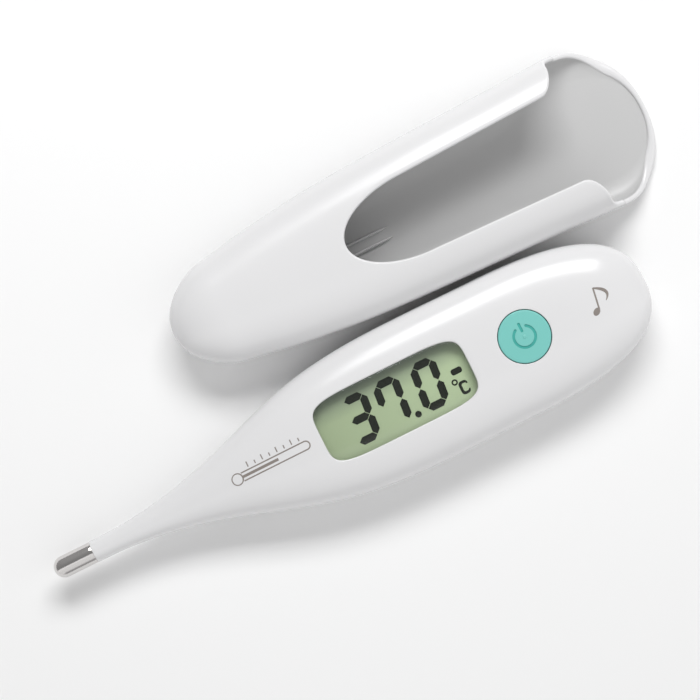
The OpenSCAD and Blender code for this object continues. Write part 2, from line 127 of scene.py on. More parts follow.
def top_z(x, y):
    """Height of the front cover's outside over a place."""
    s = x + DISPLAY_S
    p = power_at(1, s)
    reach = np.clip(np.abs(y) / np.maximum(half_width(s), 0.01), 0, 1)
    return AXIS_Z + half_height(1, s) * (1 - reach**p) ** (1 / p)


def fine_turn(start, end):
    """Angles in radians from start to end in degrees, closest together at the quarter turns."""
    near = np.geomspace(1e-5, 3, 110)
    quarters = [90 * k + side * near for k in range(6) for side in (-1, 1)]
    turn = np.concatenate([np.linspace(start, end, 1201), *quarters])
    return np.radians(np.unique(turn[(turn >= start) & (turn <= end)]))


def even_steps(y, z, places):
    """Points at these lengths along a line; places runs from 0 to 1."""
    run = np.concatenate([[0], np.cumsum(np.hypot(np.diff(y), np.diff(z)))])
    t = np.asarray(places) * run[-1]
    return np.interp(t, run, y), np.interp(t, run, z)


# ---- mesh helpers ----


def mesh_object(name, vertices, faces, material=None):
    mesh = bpy.data.meshes.new(name)
    mesh.from_pydata((np.asarray(vertices, float) * MM).tolist(), [], faces)
    mesh.update()
    made = bpy.data.objects.new(name, mesh)
    bpy.context.scene.collection.objects.link(made)
    if material:
        mesh.materials.append(material)
    return made


def clean(obj, weld=0.0005):
    """Welds points that coincide and turns every face outwards."""
    bm = bmesh.new()
    bm.from_mesh(obj.data)
    bmesh.ops.remove_doubles(bm, verts=bm.verts, dist=weld * MM)
    bmesh.ops.dissolve_degenerate(bm, edges=bm.edges, dist=weld * MM)
    bmesh.ops.recalc_face_normals(bm, faces=bm.faces)
    bm.to_mesh(obj.data)
    bm.free()
    return obj


def smooth(obj, angle=35):
    """Shades obj smooth, with sharp edges where faces meet at more than angle degrees."""
    for face in obj.data.polygons:
        face.use_smooth = True
    obj.data.set_sharp_from_angle(angle=math.radians(angle))
    return obj


def combine(obj, tool, operation):
    """Booleans obj with tool and removes tool."""
    modifier = obj.modifiers.new("combine", "BOOLEAN")
    modifier.object = tool
    modifier.operation = operation
    modifier.solver = "EXACT"
    graph = bpy.context.evaluated_depsgraph_get()
    made = bpy.data.meshes.new_from_object(obj.evaluated_get(graph))
    obj.modifiers.clear()
    obj.data = made
    bpy.data.objects.remove(tool)
    return obj


def grid_faces(rows, columns, start=0, closed=False):
    """Quads between the points of a grid whose rows have this many columns."""
    faces = []
    for i in range(rows - 1):
        for j in range(columns if closed else columns - 1):
            a = start + i * columns + j
            b = start + i * columns + (j + 1) % columns
            faces.append([a, b, b + columns, a + columns])
    return faces


def loft(name, rings, material=None):
    """A closed solid through rings with equal numbers of points, capped at both ends."""
    rings = np.asarray(rings, float)
    count, around = rings.shape[:2]
    faces = grid_faces(count, around, closed=True)
    faces.append(list(range(around))[::-1])
    faces.append([(count - 1) * around + k for k in range(around)])
    return clean(mesh_object(name, rings.reshape(-1, 3), faces, material))


def box_object(s0, s1, y0, y1, z0, z1):
    """A box between two stations."""
    base = [[s0, y0], [s1, y0], [s1, y1], [s0, y1]]
    return loft("box", [[[s - DISPLAY_S, y, z] for s, y in base] for z in (z0, z1)])


def post_object(s, y, z0, z1, r, around=48):
    """An upright cylinder at a station."""
    turn = np.linspace(0, 2 * math.pi, around, endpoint=False)
    x = s - DISPLAY_S + r * np.cos(turn)
    return loft("post", [np.c_[x, y + r * np.sin(turn), np.full(around, z)] for z in (z0, z1)])


def lathe(name, profile, centre, axis, material, around=128):
    """Turns a profile of (along, radius) round an axis, X or Z, through centre.

    The profile's ends are joined, unless both lie on the axis.
    """
    profile = np.asarray(profile, float)
    turn = np.linspace(0, 2 * math.pi, around, endpoint=False)
    points = []
    for place, radius in profile:
        a, b = radius * np.cos(turn), radius * np.sin(turn)
        run = np.full(around, place)
        points.append(np.c_[run, a, b] if axis == "X" else np.c_[a, b, run])
    points = np.array(points) + np.array(centre, float)
    count = len(profile)
    faces = grid_faces(count, around, closed=True)
    last = (count - 1) * around
    if max(profile[0][1], profile[-1][1]) > 0.001:
        for j in range(around):
            k = (j + 1) % around
            faces.append([last + j, last + k, k, j])
    return clean(mesh_object(name, points.reshape(-1, 3), faces, material))


def join(obj, others):
    """Adds the meshes of others to obj and removes them."""
    bm = bmesh.new()
    bm.from_mesh(obj.data)
    for other in others:
        bm.from_mesh(other.data)
        bpy.data.objects.remove(other)
    bm.to_mesh(obj.data)
    bm.free()
    return obj


def place(obj, body, slot, *replaced):
    """Ties a drawn piece to its body, and hides the CAD nodes that it stands for."""
    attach(obj, body)
    if replaced:
        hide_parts(*replaced)


# ---- materials ----

HEAD_ON_GLOSS = 0.035


def start_material(name):
    """A new material, its node tree, its shader and the object's own coordinates."""
    made = bpy.data.materials.new(name)
    made.use_nodes = True
    tree = made.node_tree
    shader = tree.nodes["Principled BSDF"]
    place_node = tree.nodes.new("ShaderNodeTexCoord")
    return made, tree, shader, place_node.outputs["Object"]


def noise(tree, vector, scale, detail=3.0, stretch=None):
    """A noise output, drawn out along an axis if stretch is given."""
    if stretch:
        mapping = tree.nodes.new("ShaderNodeMapping")
        mapping.inputs["Scale"].default_value = stretch
        tree.links.new(vector, mapping.inputs["Vector"])
        vector = mapping.outputs["Vector"]
    made = tree.nodes.new("ShaderNodeTexNoise")
    made.inputs["Scale"].default_value = scale
    made.inputs["Detail"].default_value = detail
    tree.links.new(vector, made.inputs["Vector"])
    return made.outputs["Fac"]


def spread(tree, value, low, high, from_low=0.2, from_high=0.8):
    """Maps a value onto low to high. The usual range is that of a noise output."""
    made = tree.nodes.new("ShaderNodeMapRange")
    made.inputs["From Min"].default_value = from_low
    made.inputs["From Max"].default_value = from_high
    made.inputs["To Min"].default_value = low
    made.inputs["To Max"].default_value = high
    tree.links.new(value, made.inputs["Value"])
    return made.outputs["Result"]


def blend_colours(tree, factor, first, second):
    """first and second are colours or colour outputs."""
    made = tree.nodes.new("ShaderNodeMix")
    made.data_type = "RGBA"
    tree.links.new(factor, made.inputs["Factor"])
    for socket, colour in ((made.inputs[6], first), (made.inputs[7], second)):
        if isinstance(colour, tuple):
            socket.default_value = (*colour, 1)
        else:
            tree.links.new(colour, socket)
    return made.outputs[2]


def surface(name, colour, roughness, metallic=0.0, scale=250.0, mottle=0.03, rough_spread=0.05,
            relief=0.000004, relief_scale=900.0, stretch=None, **sockets):
    """A moulded, painted or metal finish: mottled colour and gloss, and a fine relief."""
    made, tree, shader, vector = start_material(name)
    tone = noise(tree, vector, scale, stretch=stretch)
    dark = tuple(c * (1 - mottle) for c in colour)
    light = tuple(min(1.0, c * (1 + mottle)) for c in colour)
    colours = blend_colours(tree, spread(tree, tone, 0, 1), dark, light)
    tree.links.new(colours, shader.inputs["Base Color"])
    gloss = spread(tree, noise(tree, vector, scale * 2.3, stretch=stretch),
                   max(0.02, roughness - rough_spread), roughness + rough_spread)
    tree.links.new(gloss, shader.inputs["Roughness"])
    bump = tree.nodes.new("ShaderNodeBump")
    bump.inputs["Distance"].default_value = relief
    bump.inputs["Strength"].default_value = 1.0
    tree.links.new(noise(tree, vector, relief_scale, stretch=stretch), bump.inputs["Height"])
    tree.links.new(bump.outputs["Normal"], shader.inputs["Normal"])
    shader.inputs["Metallic"].default_value = metallic
    for socket, value in sockets.items():
        shader.inputs[socket.replace("_", " ")].default_value = value
    return made


def clear_plastic():
    """Clear moulded acrylic: see-through, with a gloss that grows towards grazing angles."""
    made = bpy.data.materials.new("clear_acrylic")
    made.use_nodes = True
    tree = made.node_tree
    tree.nodes.remove(tree.nodes["Principled BSDF"])
    through = tree.nodes.new("ShaderNodeBsdfTransparent")
    through.inputs["Color"].default_value = (0.97, 0.98, 0.97, 1)
    gloss = tree.nodes.new("ShaderNodeBsdfAnisotropic")
    gloss.inputs["Roughness"].default_value = 0.05
    edge = tree.nodes.new("ShaderNodeLayerWeight")
    edge.inputs["Blend"].default_value = 0.5
    steep = tree.nodes.new("ShaderNodeMath")
    steep.operation = "POWER"
    steep.inputs[1].default_value = 5.0
    tree.links.new(edge.outputs["Facing"], steep.inputs[0])
    share = spread(tree, steep.outputs["Value"], HEAD_ON_GLOSS, 1.0, 0.0, 1.0)
    mix = tree.nodes.new("ShaderNodeMixShader")
    tree.links.new(share, mix.inputs["Fac"])
    tree.links.new(through.outputs["BSDF"], mix.inputs[1])
    tree.links.new(gloss.outputs["BSDF"], mix.inputs[2])
    tree.links.new(mix.outputs["Shader"], tree.nodes["Material Output"].inputs["Surface"])
    return made


def display_face():
    """Grey-green liquid-crystal face with faint unlit cells; painted shade leaves it lighter
    towards one corner.
    """
    made, tree, shader, vector = start_material("display_face")
    parts = tree.nodes.new("ShaderNodeSeparateXYZ")
    tree.links.new(vector, parts.inputs["Vector"])
    # Painted shade: the face runs from darker at its left end to lighter at its right end.
    slope = spread(tree, parts.outputs["X"], 0, 1, -0.016, 0.016)
    colours = blend_colours(tree, slope, (0.43, 0.51, 0.325), (0.58, 0.69, 0.45))
    # Painted shadow: a dark band along the top edge, where the window's frame would shade the
    # face.
    rise = spread(tree, parts.outputs["Y"], 0, 1, 0.0015, 0.0068)
    colours = blend_colours(tree, rise, colours, (0.19, 0.22, 0.185))
    grain = spread(tree, noise(tree, vector, 1800.0), 0, 0.06)
    colours = blend_colours(tree, grain, colours, (0.55, 0.6, 0.47))
    tree.links.new(colours, shader.inputs["Base Color"])
    tree.links.new(spread(tree, noise(tree, vector, 900.0), 0.3, 0.42), shader.inputs["Roughness"])
    return made


def board_finish():
    """Green solder mask over copper tracks, over glass cloth."""
    made, tree, shader, vector = start_material("solder_mask")
    tracks = tree.nodes.new("ShaderNodeTexBrick")
    tracks.inputs["Scale"].default_value = 240.0
    tracks.inputs["Mortar Size"].default_value = 0.03
    tracks.inputs["Color1"].default_value = (0.012, 0.13, 0.05, 1)
    tracks.inputs["Color2"].default_value = (0.016, 0.15, 0.06, 1)
    tracks.inputs["Mortar"].default_value = (0.03, 0.24, 0.1, 1)
    tree.links.new(vector, tracks.inputs["Vector"])
    tree.links.new(tracks.outputs["Color"], shader.inputs["Base Color"])
    tree.links.new(spread(tree, noise(tree, vector, 700.0), 0.28, 0.4), shader.inputs["Roughness"])
    bump = tree.nodes.new("ShaderNodeBump")
    bump.inputs["Distance"].default_value = 0.00002
    tree.links.new(tracks.outputs["Fac"], bump.inputs["Height"])
    tree.links.new(bump.outputs["Normal"], shader.inputs["Normal"])
    return made


def grey(level):
    return (level, level, level)


FINISH = {
    "white": surface("glossy_white_plastic", (0.765, 0.763, 0.77), 0.2, mottle=0.004, scale=60.0,
                     rough_spread=0.03, relief=0.0000012, relief_scale=400.0, IOR=1.5),
    "case": surface("satin_white_plastic", (0.765, 0.763, 0.77), 0.22, mottle=0.004, scale=60.0,
                    rough_spread=0.03, relief=0.0000012, relief_scale=400.0, IOR=1.48),
    # A darker copy of the case's white plastic: painted shade for the inside, where the walls keep
    # the light out.
    "case_inside_painted_shade": surface("painted_shade_white_plastic", grey(0.56), 0.36, mottle=0.005, scale=60.0,
                           relief=0.000002, relief_scale=500.0, IOR=1.48),
    "inner": surface("natural_plastic", (0.72, 0.72, 0.69), 0.42, mottle=0.02, IOR=1.48),
    "mint": surface("mint_plastic", (0.2, 0.58, 0.53), 0.34, mottle=0.015, scale=90.0,
                    rough_spread=0.04, relief=0.000003, IOR=1.49),
    "engraved": surface("engraved_teal", (0.06, 0.42, 0.37), 0.5, mottle=0.04, IOR=1.45),
    "ink": surface("grey_print", (0.25, 0.22, 0.2), 0.45, mottle=0.06, scale=900.0, IOR=1.45),
    "grey": surface("grey_plastic", (0.28, 0.29, 0.3), 0.42, mottle=0.04, IOR=1.48),
    "black": surface("black_resin", grey(0.02), 0.38, mottle=0.25, scale=700.0, IOR=1.5),
    "foam": surface("black_foam", grey(0.03), 0.85, mottle=0.4, scale=1600.0, relief=0.00004,
                    relief_scale=1600.0),
    "rubber": surface("grey_rubber", (0.12, 0.13, 0.14), 0.7, mottle=0.1, relief=0.00001),
    "segments": surface("display_ink", (0.010, 0.013, 0.008), 0.55, mottle=0.12, scale=1200.0,
                        IOR=1.3),
    "glass": surface("display_glass", (0.55, 0.63, 0.58), 0.06, mottle=0.01, Alpha=0.35, IOR=1.5),
    "film": surface("reflector_film", (0.6, 0.62, 0.6), 0.35, metallic=0.6, scale=900.0),
    "epoxy": surface("potting_epoxy", (0.3, 0.24, 0.13), 0.2, mottle=0.12, scale=600.0),
    "enamel": surface("red_enamel", (0.35, 0.03, 0.02), 0.35, mottle=0.1, scale=900.0),
    "board": board_finish(),
    "ceramic": surface("tan_ceramic", (0.42, 0.3, 0.18), 0.5, mottle=0.12, scale=1500.0),
    "white_ceramic": surface("white_ceramic", (0.75, 0.73, 0.68), 0.5, mottle=0.05, scale=1200.0),
    "steel": surface("polished_steel", (0.7, 0.68, 0.67), 0.15, metallic=1.0, mottle=0.02,
                     scale=500.0, rough_spread=0.03, relief=0.0000012, relief_scale=700.0,
                     stretch=(1.0, 6.0, 6.0)),
    "zinc": surface("zinc_steel", (0.6, 0.62, 0.62), 0.35, metallic=1.0, mottle=0.08, scale=900.0),
    "nickel": surface("nickel_steel", (0.63, 0.61, 0.56), 0.2, metallic=1.0, mottle=0.05,
                      scale=700.0, stretch=(1.0, 4.0, 1.0)),
    "brass": surface("brass_plate", (0.72, 0.5, 0.2), 0.2, metallic=1.0, mottle=0.07, scale=800.0),
    "clear": clear_plastic(),
    "display": display_face(),
}

# The finish of each CAD node that stays as it is.
CARRIED = {
    "window_tape": "foam", "probe_filler": "epoxy", "thermistor_bead": "black",
    "thermistor_leads": "enamel", "lcd_front_glass": "glass", "lcd_rear_glass": "glass",
    "lcd_reflector": "film", "lcd_frame": "inner", "lcd_connector": "rubber",
    "main_board": "board", "board_screws": "zinc", "controller_chip": "black",
    "quartz_crystal": "nickel", "chip_resistors": "black", "chip_capacitors": "ceramic",
    "switch_body": "grey", "switch_dome": "brass", "switch_plunger": "inner",
    "button_seal": "rubber", "buzzer_disc": "brass", "buzzer_ceramic": "white_ceramic",
    "buzzer_leads": "enamel", "battery_frame": "inner", "cell_can": "nickel",
    "cell_gasket": "black", "cell_cap": "nickel", "contact_positive": "nickel",
    "contact_negative": "nickel", "door_pad": "foam",
}
for node_name, finish_name in CARRIED.items():
    carried = nodes[node_name]
    if not carried.material_slots:
        carried.data.materials.append(FINISH[finish_name])
    for material_slot in carried.material_slots:
        material_slot.link = "OBJECT"
        material_slot.material = FINISH[finish_name]

# ---- covers ----

NECK_ROWS = 110
CAP_ROWS = 64
ARC_STEPS = 72
CUT_END_S = 140
CUT_HALF = 20
POST_R = 1.6
SCREW_HOLE_R = 0.7
LEAD_CHANNEL_R = 1.0
# Sections of the door's rails and of the channels they run in, as (y0, y1, z0, z1) on one side.
RAILS = ((12, 13.15, 2.25, 2.7), (12, 12.6, 2.3, 4.55), (12, 14, 3.8, 4.6))
CHANNELS = ((11, 13.3, 2.1, 2.85), (11, 12.8, 2.1, 4))
GRIP_GROOVES = 5
GRIP_PITCH = 1.8


def cover_stations(inset):
    """Stations from the neck to the grip's end, closer together as the end turns in."""
    neck = np.linspace(CAP_LENGTH, PLAN_CAP_S, NECK_ROWS)
    turn = np.linspace(0, math.pi / 2, CAP_ROWS + 1)[1:-1]
    return np.concatenate([neck, PLAN_CAP_S + (BODY_LENGTH - PLAN_CAP_S - inset) * np.sin(turn)])


def cover_row(s, side, inset):
    """One half of a cross-section, from edge to edge.

    The outside stops a hair short of the parting line, which leaves a fine seam between covers.
    """
    w = half_width(s, inset)
    h = half_height(side, s, inset)
    p = power_at(side, s)
    turn = fine_turn(0, 180)
    y = w * np.sign(np.cos(turn)) * np.abs(np.cos(turn)) ** (2 / p)
    z = h * np.abs(np.sin(turn)) ** (2 / p)
    girth = np.hypot(np.diff(y), np.diff(z)).sum()
    edge = min(0.02, SEAM / girth)
    places = np.concatenate([[0], np.linspace(edge, 1 - edge, ARC_STEPS - 1), [1]])
    y, z = even_steps(y, z, places)
    if inset == 0:
        step = min(SEAM, 0.1 * w)
        y[0] -= step
        y[-1] += step
    z = AXIS_Z + side * z
    if inset > 0 and side > 0:
        z = np.minimum(z, CEILING_Z)
    return np.c_[np.full(len(y), s - DISPLAY_S), y, z]


def cover_shell(name, side, material):
    """Half of the hollow body, closed along its parting face."""
    outer = np.array([cover_row(s, side, 0.0) for s in cover_stations(0.0)])
    inner = np.array([cover_row(s, side, WALL) for s in cover_stations(WALL)])
    rows, columns = outer.shape[:2]
    size = rows * columns
    ends = [[BODY_LENGTH - DISPLAY_S, 0, AXIS_Z], [BODY_LENGTH - WALL - DISPLAY_S, 0, AXIS_Z]]
    points = np.concatenate([outer.reshape(-1, 3), inner.reshape(-1, 3), ends])
    faces = grid_faces(rows, columns) + grid_faces(rows, columns, size)
    last = (rows - 1) * columns
    for j in range(columns - 1):
        faces.append([last + j, last + j + 1, 2 * size])
        faces.append([size + last + j, size + last + j + 1, 2 * size + 1])
        faces.append([j, j + 1, size + j + 1, size + j])
    for edge in (0, columns - 1):
        for i in range(rows - 1):
            a = i * columns + edge
            faces.append([a, a + columns, size + a + columns, size + a])
        faces.append([last + edge, 2 * size, 2 * size + 1, size + last + edge])
    return clean(mesh_object(name, points, faces, material))


def superellipse(a, b, power, around=160):
    """An outline in even steps, as an array of (x, y)."""
    turn = fine_turn(0, 360)
    x = a * np.sign(np.cos(turn)) * np.abs(np.cos(turn)) ** (2 / power)
    y = b * np.sign(np.sin(turn)) * np.abs(np.sin(turn)) ** (2 / power)
    x, y = even_steps(x, y, np.linspace(0, 1, around, endpoint=False))
    return np.c_[x, y]


def rim_cutter(outline, fillet):
    """Cuts a hole with a rounded edge that follows the front cover's outside."""
    step = np.roll(outline, -1, axis=0) - np.roll(outline, 1, axis=0)
    out = np.c_[step[:, 1], -step[:, 0]]
    out /= np.linalg.norm(out, axis=1)[:, None]
    rings = [np.c_[outline, np.full(len(outline), 8.0)]]
    for degrees in range(0, 76, 15):
        turn = math.radians(degrees)
        ring = outline + out * fillet * (1 - math.cos(turn))
        z = top_z(ring[:, 0], ring[:, 1]) - fillet * (1 - math.sin(turn))
        rings.append(np.c_[ring, z])
    ring = ring + out * 0.97
    rings.append(np.c_[ring, z + 0.27])
    rings.append(np.c_[ring, np.full(len(ring), 16.0)])
    return loft("rim_cutter", rings)


def half_tube(side):
    """Half of the spigot that the steel cap is glued to."""
    turn = np.linspace(0, math.pi, 33)
    outside = CAP_R - CAP_WALL - 0.05
    loop_y = np.concatenate([outside * np.cos(turn), LEAD_CHANNEL_R * np.cos(turn[::-1])])
    loop_z = np.concatenate([outside * np.sin(turn), LEAD_CHANNEL_R * np.sin(turn[::-1])])
    rings = [
        np.c_[np.full(len(loop_y), s - DISPLAY_S), loop_y, AXIS_Z + side * loop_z]
        for s in (4.7, CAP_LENGTH + 0.2)
    ]
    return loft("spigot", rings)


def layer(s0, z0, z1):
    """A box from station s0 out past the grip's end and past both sides."""
    return box_object(s0, CUT_END_S, -CUT_HALF, CUT_HALF, z0, z1)


def combine_both_sides(obj, s0, s1, sections, operation):
    """Adds or cuts bars of these (y0, y1, z0, z1) sections between two stations, mirrored."""
    for side in (-1, 1):
        for y0, y1, z0, z1 in sections:
            low, high = sorted((side * y0, side * y1))
            combine(obj, box_object(s0, s1, low, high, z0, z1), operation)


WINDOW_A = 16.2
WINDOW_B = 6.66
WINDOW_POWER = 5.5
WINDOW_FILLET = 0.3
BUTTON_GAP = 0.14

front = cover_shell("front_cover_skin", 1, FINISH["white"])
window_hole = superellipse(WINDOW_A, WINDOW_B, WINDOW_POWER)
combine(front, rim_cutter(window_hole, WINDOW_FILLET), "DIFFERENCE")
hole_r = BUTTON_R + BUTTON_GAP
button_hole = superellipse(hole_r, hole_r, 2, 128) + [BUTTON_X, 0]
combine(front, rim_cutter(button_hole, BUTTON_GAP), "DIFFERENCE")
combine(front, half_tube(1), "UNION")
smooth(front)
place(front, "thermometer", "white_plastic", "front_cover")

rear = cover_shell("rear_cover_skin", -1, FINISH["white"])
for s, y in SCREWS:
    combine(rear, post_object(s, y, 1.3, 5, POST_R), "UNION")
combine(rear, layer(-5, -5, 0), "DIFFERENCE")
combine(rear, layer(DOOR_S - 0.1, -6, DOOR_Z + 0.1), "DIFFERENCE")
for s, y in SCREWS:
    combine(rear, post_object(s, y, 2, 6, SCREW_HOLE_R), "DIFFERENCE")
combine_both_sides(rear, 97.5, 105, RAILS, "UNION")
combine(rear, half_tube(-1), "UNION")
smooth(rear)
place(rear, "thermometer", "white_plastic", "rear_cover")

door = cover_shell("battery_door_skin", -1, FINISH["white"])
combine(door, layer(DOOR_S, 0, DOOR_Z), "INTERSECT")
combine_both_sides(door, 95, 105.4, CHANNELS, "DIFFERENCE")
for k in range(GRIP_GROOVES):
    groove_s = GRIP_PITCH * k
    combine(door, box_object(110 + groove_s, 110.8 + groove_s, -6, 6, -1, 0.4), "DIFFERENCE")
# The tongue that reaches in over the rear cover's floor, and the step that carries it.
combine(door, box_object(91.5, 98, -4, 4, 1.05, 1.7), "UNION")
combine(door, box_object(DOOR_S + 0.001, 97.9, -4, 4, 0.5, 1.65), "UNION")
smooth(door)
place(door, "door", "white_plastic", "battery_door")

# ---- probe ----

dome = np.radians(np.linspace(0, 90, 25))
profile = [(CAP_R * (1 - math.cos(t)), CAP_R * math.sin(t)) for t in dome]
profile += [(CAP_R + (CAP_LENGTH - 0.1 - CAP_R) * k / 8, CAP_R) for k in range(1, 9)]
profile += [(CAP_LENGTH - 0.03, CAP_R - 0.03), (CAP_LENGTH, CAP_R - 0.1)]
inner_r = CAP_R - CAP_WALL
profile += [(CAP_LENGTH, inner_r)]
profile += [(CAP_R - inner_r * math.cos(t), inner_r * math.sin(t)) for t in dome[::-1]]
probe = lathe("steel_cap", profile, (-DISPLAY_S, 0, AXIS_Z), "X", FINISH["steel"])
smooth(probe, 50)
place(probe, "thermometer", "polished_steel", "probe_cap")

# ---- display ----

WINDOW_DROP = 0.12
WINDOW_GAP = 0.05
WINDOW_EDGE = 0.25
FLANGE_Z0 = 10.45
FLANGE_Z1 = 11.05


def window_ring(shrink, drop):
    """The window's outline made smaller by shrink, at drop under its face."""
    inset = WINDOW_GAP + shrink
    ring = superellipse(WINDOW_A - inset, WINDOW_B - inset, WINDOW_POWER)
    return np.c_[ring, top_z(ring[:, 0], ring[:, 1]) - WINDOW_DROP - drop]


flange = superellipse(WINDOW_A + 0.5, WINDOW_B + 0.35, WINDOW_POWER)
base = superellipse(WINDOW_A - WINDOW_GAP, WINDOW_B - WINDOW_GAP, WINDOW_POWER)
rings = [np.c_[flange, np.full(len(flange), z)] for z in (FLANGE_Z0, FLANGE_Z1)]
rings.append(np.c_[base, np.full(len(base), FLANGE_Z1)])
for degrees in range(0, 91, 15):
    turn = math.radians(degrees)
    shrink = WINDOW_EDGE * (1 - math.cos(turn))
    rings.append(window_ring(shrink, WINDOW_EDGE * (1 - math.sin(turn))))
for share in (0.93, 0.82, 0.68, 0.52, 0.36, 0.2, 0.08):
    ring = superellipse(WINDOW_A * share, WINDOW_B * share, WINDOW_POWER)
    rings.append(np.c_[ring, top_z(ring[:, 0], ring[:, 1]) - WINDOW_DROP])
window = smooth(loft("window_lens", rings, FINISH["clear"]))
place(window, "thermometer", "clear_window", "display_window")

LCD_Z = 10.3
FILM_Z = 10.1
FILM_A = 16.9
FILM_B = 7.4
film_corners = [[-FILM_A, -FILM_B], [FILM_A, -FILM_B], [FILM_A, FILM_B], [-FILM_A, FILM_B]]
film_rings = [[[x, y, z] for x, y in film_corners] for z in (FILM_Z, LCD_Z)]
film = loft("display_film", film_rings, FINISH["display"])
place(film, "thermometer", "polariser_film", "lcd_polariser")

DIGIT_HEIGHT = 10.05
DIGIT_WIDTH = 5.6
STROKE = 1.58
SLANT = math.tan(math.radians(5))
GAP = 0.15
INK_Z0 = LCD_Z + 0.005
INK_Z1 = LCD_Z + 0.03
# Each digit's middle and its lit segments, then the marks as (x, y, radius) for rings and
# (x, y, width, height, corner) for rounded rectangles.
DIGITS = [(-7.6, "abcdg"), (-0.6, "abcf"), (7.5, "abcdef")]
DECIMAL_POINT = (2.95, -4.3, 0.66)
DASH = (13.4, 0, 2.3, 1.25, 0.5)
DEGREE = (12.1, -1.9, 0.63)
DEGREE_HOLE = (12.1, -1.9, 0.32)
LETTER_C = (13.45, -3.58, 1.9, 2.76, 0.7)
LETTER_C_HOLE = (13.6, -3.58, 1.05, 1.66, 0.35)
LETTER_C_MOUTH = (14.5, -3.58, 1.2, 1.1, 0.1)


def flat_solid(outline, z0, z1):
    """An upright prism on an outline of (x, y)."""
    return loft("flat", [[[x, y, z] for x, y in outline] for z in (z0, z1)])


def ink(outline):
    return flat_solid(outline, INK_Z0, INK_Z1)


def ink_cutter(outline):
    return flat_solid(outline, 10, 11)


def bar_outline(length):
    """A segment's outline along X: mitred ends with their points blunted."""
    half, t, blunt = length / 2, STROKE / 2, 0.03
    return [
        (-half + blunt, -blunt), (-half + t, -t), (half - t, -t), (half - blunt, -blunt),
        (half - blunt, blunt), (half - t, t), (-half + t, t), (-half + blunt, blunt),
    ]


def segment_outline(letter):
    """A segment of an upright digit about its middle; a is the top one, and g the middle one."""
    w = DIGIT_WIDTH - STROKE
    h = (DIGIT_HEIGHT - STROKE) / 2
    if letter in "adg":
        lift = {"a": h, "g": 0, "d": -h}[letter]
        return [(x, y + lift) for x, y in bar_outline(w - GAP)]
    side = 1 if letter in "bc" else -1
    lift = h / 2 if letter in "bf" else -h / 2
    return [(side * w / 2 - y, x + lift) for x, y in bar_outline(h - GAP)]


def ring_outline(x, y, radius, around=32):
    turn = np.linspace(0, 2 * math.pi, around, endpoint=False)
    return [(x + radius * math.cos(t), y + radius * math.sin(t)) for t in turn]


def rounded_rectangle(x, y, w, h, corner, steps=6):
    """An outline of this width and height about (x, y)."""
    points = []
    for quarter, (a, b) in enumerate(((1, 1), (-1, 1), (-1, -1), (1, -1))):
        for k in range(steps + 1):
            turn = math.radians(90 * quarter + 90 * k / steps)
            points.append((x + a * (w / 2 - corner) + corner * math.cos(turn),
                           y + b * (h / 2 - corner) + corner * math.sin(turn)))
    return points


marks = []
for centre_x, letters in DIGITS:
    for letter in letters:
        leaning = [(centre_x + x + y * SLANT, y) for x, y in segment_outline(letter)]
        marks.append(ink(leaning))
marks.append(ink(ring_outline(*DECIMAL_POINT)))
marks.append(ink(rounded_rectangle(*DASH)))
degree = ink(ring_outline(*DEGREE))
marks.append(combine(degree, ink_cutter(ring_outline(*DEGREE_HOLE)), "DIFFERENCE"))
letter_c = ink(rounded_rectangle(*LETTER_C))
for opening in (LETTER_C_HOLE, LETTER_C_MOUTH):
    combine(letter_c, ink_cutter(rounded_rectangle(*opening)), "DIFFERENCE")
marks.append(letter_c)
digits = join(mesh_object("display_digits", [], [], FINISH["segments"]), marks)
place(digits, "thermometer", "display_ink", "lcd_segments")

# ---- power button ----

CROWN_Z = 13.18
CROWN_FALL = 0.12
EDGE = 0.28
FLANGE_OUT = 0.8
FLANGE_TOP = 10.9
FLANGE_BOTTOM = 10.4
STEM_R = 1.4
STEM_BOTTOM = 9.95


def crown(r):
    """Height of the button's slightly domed face."""
    return CROWN_Z - CROWN_FALL * (r / BUTTON_R) ** 2


profile = [(crown(r), r) for r in np.linspace(0, BUTTON_R - EDGE, 14)]
for degrees in range(15, 91, 15):
    turn = math.radians(degrees)
    r = BUTTON_R - EDGE * (1 - math.sin(turn))
    profile.append((crown(BUTTON_R - EDGE) - EDGE * (1 - math.cos(turn)), r))
flange_r = BUTTON_R + FLANGE_OUT
profile += [(FLANGE_TOP, BUTTON_R), (FLANGE_TOP, flange_r - 0.1), (FLANGE_TOP - 0.1, flange_r)]
profile += [(FLANGE_BOTTOM, flange_r), (FLANGE_BOTTOM, STEM_R)]
profile += [(STEM_BOTTOM, STEM_R), (STEM_BOTTOM, 0)]
button = lathe("button_cap", profile, (BUTTON_X, 0, 0), "Z", FINISH["mint"])
button.data.materials.append(FINISH["engraved"])

SYMBOL_R = 2.15
SYMBOL_STROKE = 0.54
SYMBOL_GAP = math.radians(32)
turns = np.linspace(math.pi / 2 + SYMBOL_GAP, 2.5 * math.pi - SYMBOL_GAP, 61)
half_stroke = SYMBOL_STROKE / 2


def arc_points(radius, angles):
    return [(radius * math.cos(t), radius * math.sin(t)) for t in angles]


def arc_outline():
    """The power sign's open ring, with round ends."""
    points = arc_points(SYMBOL_R + half_stroke, turns)
    for end, sense in ((turns[-1], 1), (turns[0], -1)):
        cx, cy = SYMBOL_R * math.cos(end), SYMBOL_R * math.sin(end)
        start = end if sense > 0 else end + math.pi
        for k in range(1, 8):
            t = start + math.pi * k / 8
            points.append((cx + half_stroke * math.cos(t), cy + half_stroke * math.sin(t)))
        if sense > 0:
            points += arc_points(SYMBOL_R - half_stroke, turns[::-1])
    return points


